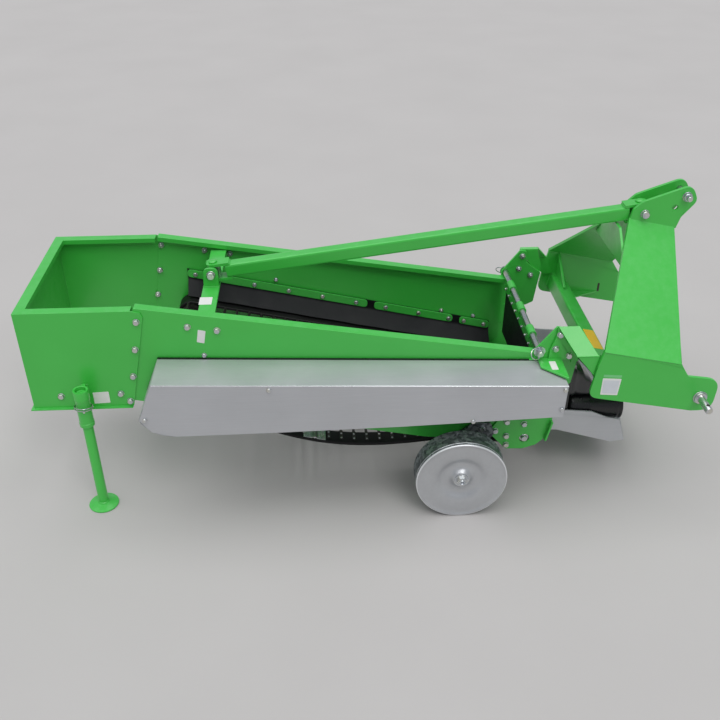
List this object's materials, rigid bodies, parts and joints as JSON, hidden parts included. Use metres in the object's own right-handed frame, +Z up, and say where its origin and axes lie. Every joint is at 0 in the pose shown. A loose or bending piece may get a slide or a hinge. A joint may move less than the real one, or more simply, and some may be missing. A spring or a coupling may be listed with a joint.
{
  "type": "potato harvester",
  "caption": "Three-point-mounted single-row potato digger with a front share, rod web conveyor, rear chute, two wheels and a parking stand.",
  "frame": {"origin": "on the ground, at the middle of the machine's length and width", "axes": "+X forward to the tractor, +Y to the machine's left, +Z up"},
  "size_m": [2.0057, 0.828, 0.8925],
  "materials": {
    "green_paint": "gloss powder coat",
    "cast_black": "painted casting",
    "zinc_sheet": "galvanised sheet",
    "bright_steel": "zinc plated",
    "dark_steel": "bare dark steel",
    "black_rubber": "matte",
    "black_plastic": "satin"
  },
  "bodies": {
    "frame": {"side_panel_right": "green_paint", "side_panel_left": "green_paint", "side_flap_right": "black_rubber", "side_flap_left": "black_rubber", "rear_chute": "green_paint", "web_conveyor": "dark_steel", "web_drive_roller": "dark_steel", "web_front_roller": "dark_steel", "web_support_roller_rear": "dark_steel", "web_support_roller_front": "dark_steel", "wheel_axle": "dark_steel", "wheel_arm_right": "zinc_sheet", "wheel_arm_left": "zinc_sheet", "low_side_plate_right": "green_paint", "low_side_plate_left": "green_paint", "front_bracket_right": "green_paint", "front_bracket_left": "green_paint", "hitch_plate_right": "green_paint", "hitch_plate_left": "green_paint", "hitch_arm_right": "green_paint", "hitch_arm_left": "green_paint", "hitch_crossbeam": "green_paint", "mast_gusset": "green_paint", "lower_link_pin_right": "bright_steel", "lower_link_pin_left": "bright_steel", "top_link_pin": "bright_steel", "top_strut": "green_paint", "bridge": "green_paint", "strut_knuckle_rear": "bright_steel", "strut_knuckle_front": "bright_steel", "cross_rod": "bright_steel", "drive_guard": "zinc_sheet", "drive_chain": "dark_steel", "gearbox": "cast_black", "output_shaft": "dark_steel", "input_shaft": "bright_steel", "shaft_cuff": "black_plastic", "share_wing_right": "zinc_sheet", "share_wing_left": "zinc_sheet", "digging_share": "bright_steel", "share_bar": "green_paint", "stand_sleeve": "green_paint"},
    "right_wheel": {"wheel_right": "zinc_sheet"},
    "left_wheel": {"wheel_left": "zinc_sheet"},
    "curtain": {"curtain_strip": "green_paint", "rubber_curtain": "black_rubber"},
    "stand": {"stand_leg": "green_paint"}
  },
  "joints": [
    {"name": "right_wheel_spin", "type": "hinge", "parent": "frame", "child": "right_wheel", "pos_m": [0.255, 0, 0.1365], "axis": [0, 1, 0], "continuous": true},
    {"name": "left_wheel_spin", "type": "hinge", "parent": "frame", "child": "left_wheel", "pos_m": [0.255, 0, 0.1365], "axis": [0, 1, 0], "continuous": true},
    {"name": "curtain_swing", "type": "hinge", "parent": "frame", "child": "curtain", "pos_m": [0.484, 0, 0.486], "axis": [0, 1, 0], "range_deg": [0, 60]},
    {"name": "stand_slide", "type": "slide", "parent": "frame", "child": "stand", "axis": [0, 0, 1], "range_m": [0, 0.28]}
  ]
}
